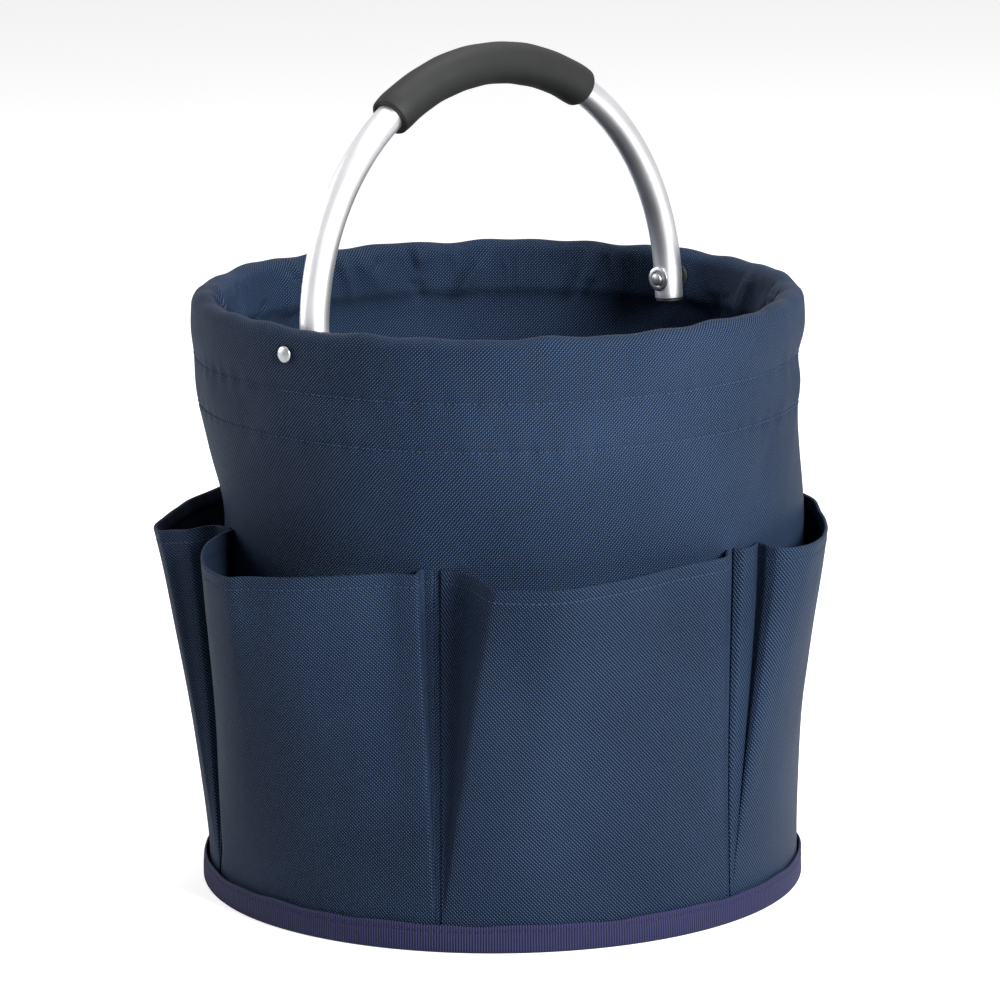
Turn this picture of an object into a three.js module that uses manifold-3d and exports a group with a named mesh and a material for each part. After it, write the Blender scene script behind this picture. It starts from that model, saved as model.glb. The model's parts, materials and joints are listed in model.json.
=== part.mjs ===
// Cleaning caddy: a round cloth bucket with a hoop in its rim, six pleated pockets round the
// outside and an arched tube handle that turns on two rivets.
// Millimetres, +Z up. The origin is the middle of the underside, on the floor. The rivets are on
// the X axis, and -Y is the front.
import * as THREE from 'three'
import { mergeVertices } from 'three/addons/utils/BufferGeometryUtils.js'
import Module from 'manifold-3d'

// ---- driving dimensions ----
const gap = 0.3            // clearance between neighbouring pieces
const ringSteps = 48       // facets round every ring of the bucket
const cloth = 1.0          // cloth thickness, with its coating

const height = 316         // floor to crest of the rim
const rimRadius = 160      // outer face of the wall at the rim
const waistRadius = 153    // outer face of the wall behind the pocket tops
const footRadius = 156.4   // outer face of the wall at the bottom seam
const wallFoot = 1.5       // the wall cloth starts just above the folded tape
const upperSeam = 32       // upper stitch line, below the crest
const lowerSeam = 57       // lower stitch line, below the crest
const hemTurnIn = 60       // how far the wall cloth comes down inside the rim

const hoopRadius = 4.8     // hoop tube, outside
const hoopBore = 3.2       // hoop tube, inside radius
const hoopRoom = 0.6       // room between hoop and cloth
const hoopSlit = 1.0       // between the hoop's two ends
const joinerArc = 16       // degrees spanned by the dowel inside the hoop

const foamSheet = 2.0      // wall stiffening sheet
const foamSlit = 4.0       // between the rolled sheet's two ends
const foamTop = 250

const boardThickness = 3.0
const tapeHeight = 14.5    // binding tape, up the outside
const tapeThickness = 1.6
const tapeRadius = 160.4   // outer face of the binding tape
const tapeReach = 8.4      // binding tape, in under the base

const pocketHeight = 198   // floor to pocket top
const pocketCorner = 178   // radius of a pocket's front creases at the top
const pocketBelly = 189    // radius of a pocket's middle at the top
const pocketRoom = 0.7     // between the wall and a pocket's seam
const pocketHinge = 15.5   // a pocket lies flat on the wall up to here
const creaseAngle = 22.5   // degrees from a pocket's middle to its front crease, at the top
const creaseFoot = 28.6    // the same at the bottom, where the pleats fold flat
const seamAngle = 29.2     // degrees from a pocket's middle to the end of its cloth

const pivotHeight = 303    // both rivets, above the floor
const handleHalfSpan = 138
const handleRise = 130     // pivots to the middle of the grip
const handleLean = 3.5     // degrees the handle leans to the back, where it was left
const tubeRadius = 7.5
const tubeBore = 6.3
const tubeBelow = 11       // the tube runs on this far below the pivots
const gripRadius = 11
const gripRoom = 0.4       // between the grip's bore and the tube
const gripArc = 32.2       // degrees of the arch under the grip, each side of the top

const shankRadius = 2.4
const rivetHole = 2.8
const headRadius = 4.3
const headHeight = 1.8
const washerRadius = 6.5
const washerThickness = 0.8

const radians = THREE.MathUtils.degToRad
const wasm = await Module()
wasm.setup()

// ---- finishes ----
const finish = (color, roughness, metalness = 0) =>
  new THREE.MeshStandardMaterial({ color, roughness, metalness })
const finishes = {
  navyTwill: [0x2b3950, 0.85],
  bindingWeave: [0x2e3050, 0.8],
  satinAluminium: [0xdfe1e4, 0.35, 1],
  blackFoam: [0x2c2d2f, 0.8],
  zincPlate: [0xc4c8cb, 0.3, 1],
  whiteSheet: [0xe6e6e2, 0.9],
  greyBoard: [0x6a6d70, 0.6],
  blackPlastic: [0x202124, 0.5],
}

const caddy = new THREE.Group()

function place(name, geometry, finishName, parent = caddy) {
  const mesh = new THREE.Mesh(geometry, finish(...finishes[finishName]))
  mesh.name = name
  parent.add(mesh)
}

// ---- closed meshes and solids ----
function enclosedVolume(geometry) {
  const position = geometry.attributes.position
  const corners = [new THREE.Vector3(), new THREE.Vector3(), new THREE.Vector3()]
  let sum = 0
  for (let i = 0; i < geometry.index.count; i += 3) {
    corners.forEach((corner, k) => corner.fromBufferAttribute(position, geometry.index.getX(i + k)))
    sum += corners[0].dot(corners[1].clone().cross(corners[2])) / 6
  }
  return sum
}

// The same surface with shared corners merged and its faces pointing outwards.
function closed(geometry) {
  const bare = geometry.clone()
  for (const key of Object.keys(bare.attributes)) {
    if (key !== 'position') bare.deleteAttribute(key)
  }
  const merged = mergeVertices(bare, 1e-4)
  if (enclosedVolume(merged) < 0) merged.index.array.reverse()
  merged.computeVertexNormals()
  return merged
}

function toSolid(geometry) {
  const merged = closed(geometry)
  return new wasm.Manifold(new wasm.Mesh({
    numProp: 3,
    vertProperties: new Float32Array(merged.attributes.position.array),
    triVerts: new Uint32Array(merged.index.array),
  }))
}

function toGeometry(solid) {
  const mesh = solid.getMesh()
  const geometry = new THREE.BufferGeometry()
  geometry.setAttribute('position', new THREE.BufferAttribute(mesh.vertProperties, 3))
  geometry.setIndex(new THREE.BufferAttribute(mesh.triVerts, 1))
  geometry.computeVertexNormals()
  return geometry
}

const cutAway = (geometry, ...tools) =>
  toGeometry(tools.reduce((solid, tool) => solid.subtract(toSolid(tool)), toSolid(geometry)))

// ---- shapes that several pieces share ----
// A closed outline of [radius, height] points turned about the Z axis. A flat facet faces each
// rivet.
function turned(points) {
  const outline = points.map(([radius, z]) => new THREE.Vector2(radius, z))
  const ring = new THREE.LatheGeometry([...outline, outline[0]], ringSteps)
  ring.rotateX(Math.PI / 2)
  ring.rotateZ(Math.PI / ringSteps)
  return closed(ring)
}

function roundPlate(radius, bottom, top) {
  const plate = new THREE.CylinderGeometry(radius, radius, top - bottom, ringSteps)
  plate.rotateX(Math.PI / 2)
  plate.rotateZ(Math.PI / ringSteps)
  plate.translate(0, 0, (bottom + top) / 2)
  return closed(plate)
}

// A closed solid through a row of outlines that have the same number of points: the sides join
// each outline to the next, and the first and last are capped.
function skinned(sections) {
  const count = sections[0].length
  const index = []
  for (let row = 0; row < sections.length - 1; row += 1) {
    for (let i = 0; i < count; i += 1) {
      const a = row * count + i
      const b = row * count + ((i + 1) % count)
      index.push(a, b, b + count, a, b + count, a + count)
    }
  }
  const last = (sections.length - 1) * count
  for (const [a, b, c] of capTriangles(sections[0])) index.push(a, c, b)
  for (const [a, b, c] of capTriangles(sections.at(-1))) index.push(last + a, last + b, last + c)
  const geometry = new THREE.BufferGeometry()
  const numbers = sections.flat().flatMap((point) => point.toArray())
  geometry.setAttribute('position', new THREE.Float32BufferAttribute(numbers, 3))
  geometry.setIndex(index)
  return closed(geometry)
}

// Triangles that fill a flat outline, wound the way the outline runs.
function capTriangles(section) {
  const normal = new THREE.Vector3()
  section.forEach((p, i) => normal.add(p.clone().cross(section[(i + 1) % section.length])))
  const level = new THREE.Quaternion()
    .setFromUnitVectors(normal.normalize(), new THREE.Vector3(0, 0, 1))
  const flat = section.map((p) => p.clone().applyQuaternion(level))
  return THREE.ShapeUtils.triangulateShape(flat.map((p) => new THREE.Vector2(p.x, p.y)), [])
}

// A strip of cloth or sheet: an open line of points given a thickness, wholly on its left side.
function thickened(line, thickness) {
  const farSide = line.map(([x, y], i) => {
    const before = line[Math.max(i - 1, 0)]
    const after = line[Math.min(i + 1, line.length - 1)]
    const run = [after[0] - before[0], after[1] - before[1]]
    const scale = thickness / Math.hypot(...run)
    return [x - run[1] * scale, y + run[0] * scale]
  })
  return [...line, ...farSide.reverse()]
}

const rodAlongX = (radius, length) => new THREE.CylinderGeometry(radius, radius, length, 16)
  .rotateZ(Math.PI / 2)

const throughBothRivets = rodAlongX(rivetHole, 3 * rimRadius).translate(0, 0, pivotHeight)

// A slit through one wall of a ring, at the back.
const backSlit = (width) => new THREE.BoxGeometry(width, 60, 3 * height).translate(0, rimRadius, 0)

// ---- bucket wall ----
// Outer face of the wall: full at the foot, drawn in behind the pocket tops, full at the rim.
const wallStations = [
  [wallFoot, footRadius],
  [40, 154.6],
  [110, waistRadius],
  [pocketHeight, waistRadius],
  [height - lowerSeam, 156.8],
  [height - upperSeam, 159.2],
]

function wallRadius(z) {
  const above = wallStations.findIndex(([level]) => level > z)
  if (above === 0) return wallStations[0][1]
  if (above < 0) return wallStations.at(-1)[1]
  const [lowZ, lowRadius] = wallStations[above - 1]
  const [highZ, highRadius] = wallStations[above]
  return THREE.MathUtils.mapLinear(z, lowZ, highZ, lowRadius, highRadius)
}

const hoopCentre = rimRadius - cloth - hoopRoom - hoopRadius
const hemInner = hoopCentre - hoopRadius - hoopRoom - cloth    // bucket side of the hem
const foamDepth = cloth + gap                                  // below the wall's outer face
const liningDepth = foamDepth + foamSheet + gap
const hemEndDepth = liningDepth + 2 * cloth + gap

// The wall cloth goes up the outside, over the crest above the hoop and down inside.
function outerWall() {
  const hoopBottom = pivotHeight - hoopRadius
  const crestFoot = pivotHeight + hoopRadius + 1
  const crestMiddle = (rimRadius + hemInner) / 2
  const crestHalf = (rimRadius - hemInner) / 2
  const crestSteps = 6
  const line = wallStations.map(([z, radius]) => [radius, z])
  line.push([rimRadius, hoopBottom])
  for (let step = 0; step <= crestSteps; step += 1) {
    const turn = (Math.PI * step) / crestSteps
    const radius = crestMiddle + crestHalf * Math.cos(turn)
    line.push([radius, crestFoot + (height - crestFoot) * Math.sin(turn)])
  }
  line.push([hemInner, hoopBottom])
  line.push([hemInner + 0.6, height - upperSeam])
  line.push([wallRadius(height - hemTurnIn) - hemEndDepth, height - hemTurnIn])
  return turned(thickened(line, cloth))
}

// A sheet that follows the wall between two heights, at a depth below the wall's outer face.
function wallLayer(depth, thickness, bottom, top) {
  const levels = wallStations.map(([z]) => z).filter((z) => z > bottom && z < top)
  const line = [bottom, ...levels, top].map((z) => [wallRadius(z) - depth, z])
  return turned(thickened(line, thickness))
}

const boardBottom = cloth + gap
const upperPanelBottom = boardBottom + boardThickness + gap
const bucketFloor = upperPanelBottom + cloth

place('outer_wall', cutAway(outerWall(), throughBothRivets), 'navyTwill')
place('wall_stiffener',
  cutAway(wallLayer(foamDepth, foamSheet, bucketFloor, foamTop), backSlit(foamSlit)), 'whiteSheet')
place('inner_lining', wallLayer(liningDepth, cloth, bucketFloor, height - lowerSeam), 'navyTwill')

// ---- base ----
const tapeInner = tapeRadius - tapeReach
const boardRadius = footRadius - liningDepth - cloth - 2 * gap
place('base_panel_outer', roundPlate(tapeInner - 2 * gap, 0, cloth), 'navyTwill')
place('base_board', roundPlate(boardRadius, boardBottom, boardBottom + boardThickness), 'greyBoard')
place('base_panel_inner', roundPlate(boardRadius, upperPanelBottom, bucketFloor), 'navyTwill')

// The binding tape covers the bottom seam outside and is folded in under it.
const tapeSole = wallFoot - gap
place('base_binding', turned([
  [tapeInner, 0],
  [tapeRadius - tapeSole, 0],
  [tapeRadius, tapeSole],
  [tapeRadius, tapeHeight - 1],
  [tapeRadius - 0.6, tapeHeight],
  [tapeRadius - tapeThickness, tapeHeight],
  [tapeRadius - tapeThickness, tapeSole],
  [tapeInner, tapeSole],
]), 'bindingWeave')

// ---- pockets ----
// The inner face of a pocket at a height, seen from above: from the seam at one side out along
// the pleat to the front crease, across the belly, and back to the other seam. It lies flat on
// the wall behind the binding tape and opens from there to the top.
function pocketLine(z, middle) {
  const open = Math.max(z - pocketHinge, 0) / (pocketHeight - pocketHinge)
  const { lerp } = THREE.MathUtils
  const flat = wallRadius(z) + pocketRoom
  const crease = lerp(creaseFoot, creaseAngle, open)
  const corner = lerp(flat, pocketCorner, open)
  const belly = lerp(flat, pocketBelly, open)
  const bellySteps = 8
  const line = [[seamAngle, flat]]
  for (let step = 0; step <= bellySteps; step += 1) {
    const across = 1 - (2 * step) / bellySteps
    const bulge = Math.cos((across * Math.PI) / 2)
    line.push([crease * across, corner + (belly - corner) * bulge])
  }
  line.push([-seamAngle, flat])
  return line.map(([angle, radius]) => {
    const turn = radians(middle + angle)
    return [radius * Math.cos(turn), radius * Math.sin(turn)]
  })
}

function pocket(middle) {
  const levels = [wallFoot, pocketHinge, 60, 110, 155, pocketHeight]
  return skinned(levels.map((z) => thickened(pocketLine(z, middle), cloth)
    .map(([x, y]) => new THREE.Vector3(x, y, z))))
}

const pocketSides = ['right_end', 'back_right', 'back_left', 'left_end', 'front_left', 'front_right']
pocketSides.forEach((side, i) => {
  place(`pocket_${side}`, pocket((360 * i) / pocketSides.length), 'navyTwill')
})

// ---- rim hoop: a tube bent to a ring, with a dowel that joins its two ends at the back ----
function hoopOutline(radius, sides) {
  return Array.from({ length: sides }, (_, i) => {
    const turn = (2 * Math.PI * i) / sides
    return [hoopCentre + radius * Math.cos(turn), pivotHeight + radius * Math.sin(turn)]
  })
}

place('rim_hoop', cutAway(turned(hoopOutline(hoopRadius, 10)), turned(hoopOutline(hoopBore, 6)),
  backSlit(hoopSlit), throughBothRivets), 'blackPlastic')

function hoopJoiner() {
  const steps = 4
  const sections = []
  for (let step = 0; step <= steps; step += 1) {
    const angle = radians(90 - joinerArc / 2 + (joinerArc * step) / steps)
    sections.push(hoopOutline(hoopBore - 2 * gap, 6).map(([radius, z]) =>
      new THREE.Vector3(radius * Math.cos(angle), radius * Math.sin(angle), z)))
  }
  return skinned(sections)
}
place('hoop_joiner', hoopJoiner(), 'blackPlastic')

// ---- handle ----
const handle = new THREE.Group()
handle.position.z = pivotHeight
handle.rotation.x = -radians(handleLean)
caddy.add(handle)

// Centre line of the arch in the handle's own XZ plane, between two angles measured from its
// top: part of an ellipse, with a straight tail at each end.
class ArchCurve extends THREE.Curve {
  constructor(halfAngle, tail) {
    super()
    this.halfAngle = radians(halfAngle)
    this.tail = tail
  }

  getPoint(t, target = new THREE.Vector3()) {
    const tailShare = this.tail > 0 ? 0.03 : 0
    const fromEnd = Math.min(t, 1 - t)
    const side = t < 0.5 ? -1 : 1
    if (fromEnd < tailShare) {
      return target.set(side * handleHalfSpan, 0, -this.tail * (1 - fromEnd / tailShare))
    }
    const angle = this.halfAngle * (1 - (fromEnd - tailShare) / (0.5 - tailShare))
    return target.set(side * handleHalfSpan * Math.sin(angle), 0, handleRise * Math.cos(angle))
  }
}

function archBar(radius, halfAngle, tail, steps, sides) {
  const section = new THREE.Shape().absarc(0, 0, radius, 0, 2 * Math.PI)
  const extrudePath = new ArchCurve(halfAngle, tail)
  return new THREE.ExtrudeGeometry(section, { steps, curveSegments: sides / 2, extrudePath })
}

place('handle_tube', cutAway(archBar(tubeRadius, 90, tubeBelow, 36, 12),
  archBar(tubeBore, 90, tubeBelow + 1, 36, 8), rodAlongX(rivetHole, 3 * rimRadius)),
'satinAluminium', handle)

place('handle_grip', cutAway(archBar(gripRadius, gripArc, 0, 14, 14),
  archBar(tubeRadius + gripRoom, gripArc + 1, 0, 14, 12)), 'blackFoam', handle)

// A plug closes each end of the tube: a stem in the bore under a flange.
function tubePlug(side) {
  const flange = tubeBelow + gap
  const stem = tubeBore - 2 * gap
  const outline = [[0, -flange - 1.5], [7.2, -flange - 1.5], [7.2, -flange], [stem, -flange],
    [stem, -flange + 6], [0, -flange + 6]].map(([radius, z]) => new THREE.Vector2(radius, z))
  return closed(new THREE.LatheGeometry(outline, 16)
    .rotateX(Math.PI / 2)
    .translate(side * handleHalfSpan, 0, 0))
}

// ---- rivets and washers at each end of the handle ----
// Points of [radius, distance from the middle of the bucket], turned about the X axis.
function turnedOnPivot(points, side) {
  const outline = points.map(([radius, x]) => new THREE.Vector2(radius, x))
  return closed(new THREE.LatheGeometry(outline, 20)
    .rotateZ((-side * Math.PI) / 2)
    .translate(0, 0, pivotHeight))
}

const facet = Math.cos(Math.PI / ringSteps)      // middle of a ring's facet over its corner
const headSeat = rimRadius * facet + gap
const spacerOuter = hemInner * facet - gap
const tubeInnerSide = handleHalfSpan - tubeRadius
const tailWasherOuter = tubeInnerSide - gap
const tailSeat = tailWasherOuter - washerThickness - gap

const washerRing = (outer) => [
  [rivetHole, outer - washerThickness],
  [washerRadius, outer - washerThickness],
  [washerRadius, outer],
  [rivetHole, outer],
  [rivetHole, outer - washerThickness],
]

// A domed head outside, a shank, and a tail spread over its washer.
const rivetOutline = [
  [0, tailSeat - 1.5],
  [2.6, tailSeat - 1.5],
  [3.8, tailSeat - 0.7],
  [3.8, tailSeat],
  [shankRadius, tailSeat],
  [shankRadius, headSeat],
  [headRadius, headSeat],
  [headRadius * 0.92, headSeat + headHeight * 0.45],
  [headRadius * 0.62, headSeat + headHeight * 0.82],
  [headRadius * 0.3, headSeat + headHeight * 0.97],
  [0, headSeat + headHeight],
]

for (const [side, sign] of [['left', -1], ['right', 1]]) {
  place(`rivet_${side}`, turnedOnPivot(rivetOutline, sign), 'zincPlate')
  place(`spacer_washer_${side}`, turnedOnPivot(washerRing(spacerOuter), sign), 'blackPlastic')
  place(`tail_washer_${side}`, turnedOnPivot(washerRing(tailWasherOuter), sign), 'zincPlate')
  place(`tube_plug_${side}`, tubePlug(sign), 'blackPlastic', handle)
}

export default caddy
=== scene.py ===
import json
import math

import bmesh
import bpy
import numpy as np
from mathutils import Matrix, Vector


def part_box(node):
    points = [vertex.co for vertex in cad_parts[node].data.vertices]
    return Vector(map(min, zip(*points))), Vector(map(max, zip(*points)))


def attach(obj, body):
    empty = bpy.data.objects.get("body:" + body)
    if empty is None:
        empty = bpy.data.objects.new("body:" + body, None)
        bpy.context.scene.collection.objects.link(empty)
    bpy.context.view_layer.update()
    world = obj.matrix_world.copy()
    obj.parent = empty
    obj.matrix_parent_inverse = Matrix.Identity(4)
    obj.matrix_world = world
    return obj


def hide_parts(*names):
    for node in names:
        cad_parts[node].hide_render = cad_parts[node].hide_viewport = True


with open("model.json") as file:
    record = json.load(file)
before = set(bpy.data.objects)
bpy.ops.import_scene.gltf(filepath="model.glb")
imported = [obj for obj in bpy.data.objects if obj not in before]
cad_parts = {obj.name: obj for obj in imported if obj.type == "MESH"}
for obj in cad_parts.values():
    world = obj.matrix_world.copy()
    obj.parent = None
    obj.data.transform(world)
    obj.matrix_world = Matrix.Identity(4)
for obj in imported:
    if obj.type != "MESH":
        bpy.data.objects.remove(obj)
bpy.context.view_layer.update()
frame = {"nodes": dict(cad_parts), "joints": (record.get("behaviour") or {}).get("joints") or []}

# A navy cloth cleaning caddy. Every surface is worked out in millimetres in the caddy's own
# frame, and build_mesh() turns it into metres.
MM = 0.001
wall_low, wall_high = [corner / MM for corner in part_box("outer_wall")]
tape_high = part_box("base_binding")[1] / MM
pocket_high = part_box("pocket_left_end")[1] / MM
hinge = next(joint for joint in frame["joints"] if joint["name"] == "handle_swing")

# ---- sizes taken from the frame, in mm ----
RIM_RADIUS = wall_high.x               # outer face of the wall at the rim
RIM_HEIGHT = wall_high.z
FOOT_HEIGHT = wall_low.z
TAPE_RADIUS = tape_high.x
TAPE_HEIGHT = tape_high.z
POCKET_LENGTH = pocket_high.z          # floor to pocket top, along the cloth
PIVOT_HEIGHT = hinge["pos_m"][2] / MM
FOOT_RADIUS = 156.4
UPPER_SEAM = RIM_HEIGHT - 32           # stitch line that closes the hem channel
LOWER_SEAM = RIM_HEIGHT - 57           # stitch line that holds the turned-in edge
HEM_END = RIM_HEIGHT - 60
HEM_RADIUS = 147.6                     # inner face of the hem, just clear of the rim hoop
CLOTH = 0.9                            # cloth with its coating
FOAM_DEPTH = 1.3                       # foam sheet, from the wall's outer face
FOAM_THICKNESS = 1.7
FOAM_TOP = 250.0
LINING_DEPTH = 3.7
LINING_THICKNESS = 0.8
LINING_SLACK = 0.35
LAYER_FOOT = 5.7                       # foam and lining stand on the floor's edge
BASE_RADIUS = 151.0
FLOOR_RADIUS = 151.5                   # up to the lining
FLOOR_FOOT, FLOOR_TOP = 4.6, 5.3       # heights of the floor cloth, on the board
SPACER_FACE = 145.85                   # nearer faces of the rivets' washers, along X
TAIL_FACE = 129.35


# ---- meshes ----
def build_mesh(name, points, faces, uv=None):
    """A mesh object from an (n, 3) array in mm and a list of face index arrays, one array for
    each number of corners. uv is one (corners, 2) array in metres, in the order of the faces."""
    mesh = bpy.data.meshes.new(name)
    corners = np.concatenate([face.ravel() for face in faces]).astype(np.int32)
    totals = np.concatenate([np.full(len(face), face.shape[1]) for face in faces]).astype(np.int32)
    starts = np.concatenate([[0], np.cumsum(totals)[:-1]]).astype(np.int32)
    mesh.vertices.add(len(points))
    mesh.vertices.foreach_set("co", (np.asarray(points) * MM).astype(np.float32).ravel())
    mesh.loops.add(len(corners))
    mesh.loops.foreach_set("vertex_index", corners)
    mesh.polygons.add(len(totals))
    mesh.polygons.foreach_set("loop_start", starts)
    mesh.polygons.foreach_set("loop_total", totals)
    if uv is not None:
        mesh.uv_layers.new(name="cloth").data.foreach_set("uv", uv.astype(np.float32).ravel())
    mesh.update(calc_edges=True)
    mesh.polygons.foreach_set("use_smooth", np.ones(len(totals), bool))
    mesh.validate()
    piece = bpy.data.objects.new(name, mesh)
    bpy.context.scene.collection.objects.link(piece)
    return piece


def grid_faces(rows, columns, wrap_rows, wrap_columns, first=0):
    """Quads of a grid whose point (i, j) is number i * columns + j, and the same quads on a grid
    with one more row and column, which is what an unwrapped pattern needs."""
    i, j = np.meshgrid(np.arange(rows if wrap_rows else rows - 1),
                       np.arange(columns if wrap_columns else columns - 1), indexing="ij")
    around = [(i, j), (i + 1, j), (i + 1, j + 1), (i, j + 1)]
    quads = np.stack([(a % rows) * columns + b % columns for a, b in around], -1)
    flat = np.stack([a * (columns + 1) + b for a, b in around], -1)
    return quads.reshape(-1, 4) + first, flat.reshape(-1, 4)


def lengths_along(points, axis):
    """Running length of a grid's lines along one axis, starting at 0."""
    steps = np.linalg.norm(np.diff(points, axis=axis), axis=-1)
    return np.concatenate([np.zeros_like(np.take(steps, [0], axis)), np.cumsum(steps, axis)], axis)


def normals_of(grid, wrap_rows):
    """Unit normals of a grid: the cross product of its two central differences."""
    if wrap_rows:
        along = np.roll(grid, -1, 0) - np.roll(grid, 1, 0)
    else:
        along = np.gradient(grid, axis=0)
    normal = np.cross(along, np.gradient(grid, axis=1))
    return normal / np.maximum(np.linalg.norm(normal, axis=-1, keepdims=True), 1e-9)


def cloth_shell(name, middle, outer, inner, wrap):
    """A sheet of cloth with rounded edges. middle is a grid [along, up, xyz] in mm; the two faces
    lie outer and inner mm from it along its normal, each a number or one value for each row up.
    The grid runs anticlockwise seen from above, so that its normal points away from the bucket.
    The pattern lies flat on the cloth in metres: across is measured along each row from the
    middle of the piece, and up along the section."""
    count, rows = middle.shape[:2]
    normal = normals_of(middle, wrap)
    outer = np.broadcast_to(np.asarray(outer, float), rows)[None, :, None]
    inner = np.broadcast_to(np.asarray(inner, float), rows)[None, :, None]
    front = middle + normal * outer
    back = middle - normal * inner

    def nose(row, neighbour):
        """Two rows of points that round off the cloth's cut edge."""
        out = middle[:, row] - middle[:, neighbour]
        out /= np.maximum(np.linalg.norm(out, axis=-1, keepdims=True), 1e-9)
        half = (outer[:, row] + inner[:, row]) / 2
        centre = (front[:, row] + back[:, row]) / 2
        return [centre + half * (0.8 * out + side * 0.6 * normal[:, row]) for side in (1, -1)]

    top_out, top_in = nose(rows - 1, rows - 2)
    foot_out, foot_in = nose(0, 1)
    ring = np.concatenate([front, np.stack([top_out, top_in], 1), back[:, ::-1],
                           np.stack([foot_in, foot_out], 1)], 1)
    size = ring.shape[1]
    quads, flat = grid_faces(count, size, wrap, True)
    closed = np.concatenate([middle, middle[:1]], 0)
    across = lengths_along(closed, 0)
    if wrap:
        across = np.broadcast_to(across.mean(1, keepdims=True), across.shape)
    across = across - across[count // 2]
    u = np.concatenate([across, across[:, [-1, -1]], across[:, ::-1], across[:, [0, 0, 0]]], 1)
    v = np.median(lengths_along(np.concatenate([ring, ring[:, :1]], 1), 1), 0)
    pattern = np.stack(np.broadcast_arrays(u, v), -1).reshape(-1, 2) * MM
    faces, corners = [quads], [pattern[flat.ravel()]]
    if not wrap:
        front_chain = np.concatenate([[size - 1], np.arange(rows + 1)])
        back_chain = np.arange(size - 2, rows, -1)
        cap = np.stack([front_chain[:-1], front_chain[1:], back_chain[1:], back_chain[:-1]], -1)
        for column, end in ((0, cap), (count - 1, cap[:, ::-1])):
            faces.append(end + column * size)
            corners.append(pattern[(end + column * (size + 1)).ravel()])
    return build_mesh(name, ring.reshape(-1, 3), faces, np.concatenate(corners))


def turned(name, profile, count, place):
    """A turned solid: a closed profile of (radius, height) points, run anticlockwise, spun about
    the upright axis. Points on the axis are joined there. place puts an (n, 3) array of points
    where the solid belongs."""
    profile = np.asarray(profile, float)
    rows = len(profile)
    spin = np.arange(count) / count * 2 * math.pi
    points = np.stack([profile[:, 0] * np.cos(spin)[:, None], profile[:, 0] * np.sin(spin)[:, None],
                       np.broadcast_to(profile[:, 1], (count, rows))], -1).reshape(-1, 3)
    quads, flat = grid_faces(count, rows, True, True)
    run = np.concatenate([[0], np.cumsum(np.linalg.norm(np.diff(profile[list(range(rows)) + [0]],
                                                                axis=0), axis=1))])
    reach = profile[:, 0].max() * 2 * math.pi
    u, v = np.meshgrid(np.arange(count + 1) / count * reach, run, indexing="ij")
    pattern = np.stack([u, v], -1).reshape(-1, 2)[flat.ravel()] * MM
    piece = build_mesh(name, place(points), [quads], pattern)
    close_axis(piece)
    return piece


def close_axis(piece):
    """Joins the points of a turned solid that meet on its axis and faces everything outward."""
    shape = bmesh.new()
    shape.from_mesh(piece.data)
    bmesh.ops.remove_doubles(shape, verts=shape.verts, dist=1e-6)
    bmesh.ops.recalc_face_normals(shape, faces=shape.faces)
    shape.to_mesh(piece.data)
    shape.free()


def swept_tube(name, path, across, outer, inner, rounding):
    """A hollow tube along a path in the plane of the handle. across is the direction square to
    that plane; outer and inner are radii in mm, each a number or one value for each path point,
    and the two ends are rounded over a little."""
    count = 72
    tangent = np.gradient(path, axis=0)
    tangent /= np.linalg.norm(tangent, axis=1, keepdims=True)
    side = np.cross(tangent, across)
    outer = np.broadcast_to(np.asarray(outer, float), len(path)).copy()
    inner = np.broadcast_to(np.asarray(inner, float), len(path)).copy()
    spin = np.arange(count) / count * 2 * math.pi
    round_step = np.array([0.0, 0.3, 0.7, 1.0]) * rounding
    start = path[0] + tangent[0] * round_step[:, None]
    finish = path[-1] - tangent[-1] * round_step[::-1, None]
    keep = slice(4, len(path) - 4)
    line = np.concatenate([start, path[keep], finish])
    sides = np.concatenate([np.repeat(side[:1], 4, 0), side[keep], np.repeat(side[-1:], 4, 0)])
    curve = rounding * (1 - np.sqrt(1 - (1 - np.array([0.0, 0.3, 0.7, 1.0])) ** 2))
    outside = np.concatenate([outer[0] - curve, outer[keep], outer[-1] - curve[::-1]])
    inside = np.concatenate([inner[0] + curve, inner[keep], inner[-1] + curve[::-1]])
    radius = np.concatenate([outside, inside[::-1]])
    line = np.concatenate([line, line[::-1]])
    sides = np.concatenate([sides, sides[::-1]])
    points = line[None] + radius[None, :, None] * (np.cos(spin)[:, None, None] * sides[None]
                                                   + np.sin(spin)[:, None, None] * across)
    quads, flat = grid_faces(count, len(line), True, True)
    run = np.concatenate([[0], np.cumsum(np.linalg.norm(np.diff(line, axis=0), axis=1)), [0]])
    run[-1] = run[-2] + 2
    u, v = np.meshgrid(np.arange(count + 1) / count * outer.max() * 2 * math.pi, run, indexing="ij")
    pattern = np.stack([u, v], -1).reshape(-1, 2)[flat.ravel()] * MM
    piece = build_mesh(name, points.reshape(-1, 3), [quads], pattern)
    close_axis(piece)
    return piece


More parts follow.
